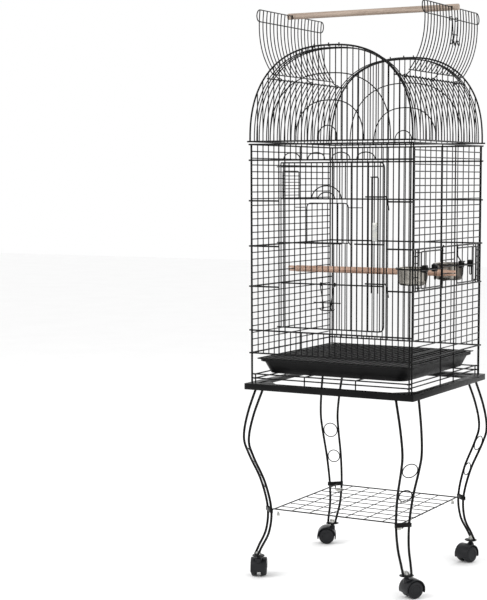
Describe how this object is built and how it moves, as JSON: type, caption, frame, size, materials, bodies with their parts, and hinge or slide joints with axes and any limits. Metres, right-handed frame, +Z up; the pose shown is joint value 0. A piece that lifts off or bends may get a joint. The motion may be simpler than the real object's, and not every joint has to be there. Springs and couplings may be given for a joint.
{
  "type": "bird cage on stand",
  "caption": "Wire bird cage with an arched flap top, front door, feeding doors, slide-out tray and perches, on a curved-leg stand with casters.",
  "frame": {"origin": "on the floor at the middle of the stand", "axes": "+Z up, -Y towards the front door, +X towards the feeding doors"},
  "size_m": [0.5774, 0.5724, 1.652],
  "materials": {
    "black_coat": "satin black powder coat",
    "perch_wood": "bare sanded dowel",
    "cup_steel": "brushed stainless",
    "tray_plastic": "moulded black",
    "caster_plastic": "moulded dark grey",
    "zinc": "zinc plated"
  },
  "bodies": {
    "cage": {"base_frame": "black_coat", "leg_front_left": "black_coat", "leg_front_right": "black_coat", "leg_back_right": "black_coat", "leg_back_left": "black_coat", "storage_shelf": "black_coat", "shelf_nut_front_left": "zinc", "shelf_nut_front_right": "zinc", "shelf_nut_back_right": "zinc", "shelf_nut_back_left": "zinc", "caster_nut_front_left": "zinc", "caster_nut_front_right": "zinc", "caster_nut_back_right": "zinc", "caster_nut_back_left": "zinc", "bottom_frame": "black_coat", "front_panel_left": "black_coat", "front_panel_right": "black_coat", "front_panel_sill": "black_coat", "front_panel_header": "black_coat", "back_panel": "black_coat", "left_panel": "black_coat", "right_panel": "black_coat", "dome_front": "black_coat", "dome_back": "black_coat", "dome_side_left": "black_coat", "dome_side_right": "black_coat", "dome_hoop_front": "black_coat", "dome_hoop_back": "black_coat", "lower_perch": "perch_wood"},
    "left_flap": {"left_flap": "black_coat"},
    "right_flap": {"right_flap": "black_coat"},
    "top_perch": {"top_perch": "perch_wood"},
    "flap_latch": {"flap_latch": "black_coat"},
    "front_door": {"front_door": "black_coat", "door_hinge_lower": "black_coat", "door_hinge_middle": "black_coat", "door_hinge_upper": "black_coat"},
    "small_door": {"small_door": "black_coat"},
    "door_latch": {"door_latch": "black_coat", "latch_tab": "zinc"},
    "door_hook": {"door_hook": "black_coat"},
    "side_door": {"side_door": "black_coat"},
    "feeder_front": {"feeder_door_front": "black_coat", "cup_holder_front": "black_coat"},
    "feeder_back": {"feeder_door_back": "black_coat", "cup_holder_back": "black_coat"},
    "cup_front": {"feed_cup_front": "cup_steel"},
    "cup_back": {"feed_cup_back": "cup_steel"},
    "tray": {"tray": "tray_plastic"},
    "grate": {"grate": "black_coat"},
    "caster_front_left": {"caster_housing_front_left": "caster_plastic"},
    "wheels_front_left": {"caster_wheels_front_left": "caster_plastic"},
    "caster_front_right": {"caster_housing_front_right": "caster_plastic"},
    "wheels_front_right": {"caster_wheels_front_right": "caster_plastic"},
    "caster_back_right": {"caster_housing_back_right": "caster_plastic"},
    "wheels_back_right": {"caster_wheels_back_right": "caster_plastic"},
    "caster_back_left": {"caster_housing_back_left": "caster_plastic"},
    "wheels_back_left": {"caster_wheels_back_left": "caster_plastic"}
  },
  "joints": [
    {"name": "left_flap_hinge", "type": "hinge", "parent": "cage", "child": "left_flap", "pos_m": [-0.196, 0, 1.44409], "axis": [0, 1, 0], "range_deg": [0, 84]},
    {"name": "right_flap_hinge", "type": "hinge", "parent": "cage", "child": "right_flap", "pos_m": [0.196, 0, 1.44409], "axis": [0, -1, 0], "range_deg": [0, 84]},
    {"name": "top_perch_lift", "type": "slide", "parent": "cage", "child": "top_perch", "axis": [0, 0, 1], "range_m": [0, 0.352]},
    {"name": "flap_latch_swing", "type": "hinge", "parent": "right_flap", "child": "flap_latch", "pos_m": [0.25772, 0.01054, 1.61089], "axis": [0, -1, 0], "range_deg": [0, 150]},
    {"name": "front_door_hinge", "type": "hinge", "parent": "cage", "child": "front_door", "pos_m": [-0.15943, -0.253, 0.97], "axis": [0, 0, -1], "range_deg": [0, 110]},
    {"name": "small_door_lift", "type": "slide", "parent": "front_door", "child": "small_door", "axis": [0, 0, 1], "range_m": [0, 0.09]},
    {"name": "door_latch_lift", "type": "slide", "parent": "front_door", "child": "door_latch", "axis": [0, 0, 1], "range_m": [0, 0.03]},
    {"name": "door_hook_swing", "type": "hinge", "parent": "front_door", "child": "door_hook", "pos_m": [0, -0.2585, 0.87], "axis": [-1, 0, 0], "range_deg": [0, 100]},
    {"name": "side_door_lift", "type": "slide", "parent": "cage", "child": "side_door", "axis": [0, 0, 1], "range_m": [0, 0.07]},
    {"name": "feeder_door_front_hinge", "type": "hinge", "parent": "cage", "child": "feeder_front", "pos_m": [0.253, -0.212, 0.915], "axis": [0, 0, -1], "range_deg": [0, 100]},
    {"name": "feeder_door_back_hinge", "type": "hinge", "parent": "cage", "child": "feeder_back", "pos_m": [0.253, 0.212, 0.915], "axis": [0, 0, 1], "range_deg": [0, 100]},
    {"name": "feed_cup_front_lift", "type": "slide", "parent": "feeder_front", "child": "cup_front", "axis": [0, 0, 1], "range_m": [0, 0.06]},
    {"name": "feed_cup_back_lift", "type": "slide", "parent": "feeder_back", "child": "cup_back", "axis": [0, 0, 1], "range_m": [0, 0.06]},
    {"name": "tray_slide", "type": "slide", "parent": "cage", "child": "tray", "axis": [0, -1, 0], "range_m": [0, 0.4]},
    {"name": "grate_slide", "type": "slide", "parent": "cage", "child": "grate", "axis": [0, -1, 0], "range_m": [0, 0.4]},
    {"name": "caster_swivel_front_left", "type": "hinge", "parent": "cage", "child": "caster_front_left", "pos_m": [-0.238, -0.238, 0.06], "axis": [0, 0, 1], "continuous": true},
    {"name": "caster_spin_front_left", "type": "hinge", "parent": "caster_front_left", "child": "wheels_front_left", "pos_m": [-0.24584, -0.2218, 0.025], "axis": [0.9001, 0.4357, 0], "continuous": true},
    {"name": "caster_swivel_front_right", "type": "hinge", "parent": "cage", "child": "caster_front_right", "pos_m": [0.238, -0.238, 0.06], "axis": [0, 0, 1], "continuous": true},
    {"name": "caster_spin_front_right", "type": "hinge", "parent": "caster_front_right", "child": "wheels_front_right", "pos_m": [0.24845, -0.22334, 0.025], "axis": [0.8143, -0.5804, 0], "continuous": true},
    {"name": "caster_swivel_back_right", "type": "hinge", "parent": "cage", "child": "caster_back_right", "pos_m": [0.238, 0.238, 0.06], "axis": [0, 0, 1], "continuous": true},
    {"name": "caster_spin_back_right", "type": "hinge", "parent": "caster_back_right", "child": "wheels_back_right", "pos_m": [0.23215, 0.22098, 0.025], "axis": [-0.9458, 0.3248, 0], "continuous": true},
    {"name": "caster_swivel_back_left", "type": "hinge", "parent": "cage", "child": "caster_back_left", "pos_m": [-0.238, 0.238, 0.06], "axis": [0, 0, 1], "continuous": true},
    {"name": "caster_spin_back_left", "type": "hinge", "parent": "caster_back_left", "child": "wheels_back_left", "pos_m": [-0.25421, 0.23017, 0.025], "axis": [-0.435, 0.9004, 0], "continuous": true}
  ],
  "couplings": [
    {"joint": "right_flap_hinge", "follows": "left_flap_hinge", "ratio": 1},
    {"joint": "top_perch_lift", "follows": "left_flap_hinge", "m_per_rad": 0.24}
  ]
}
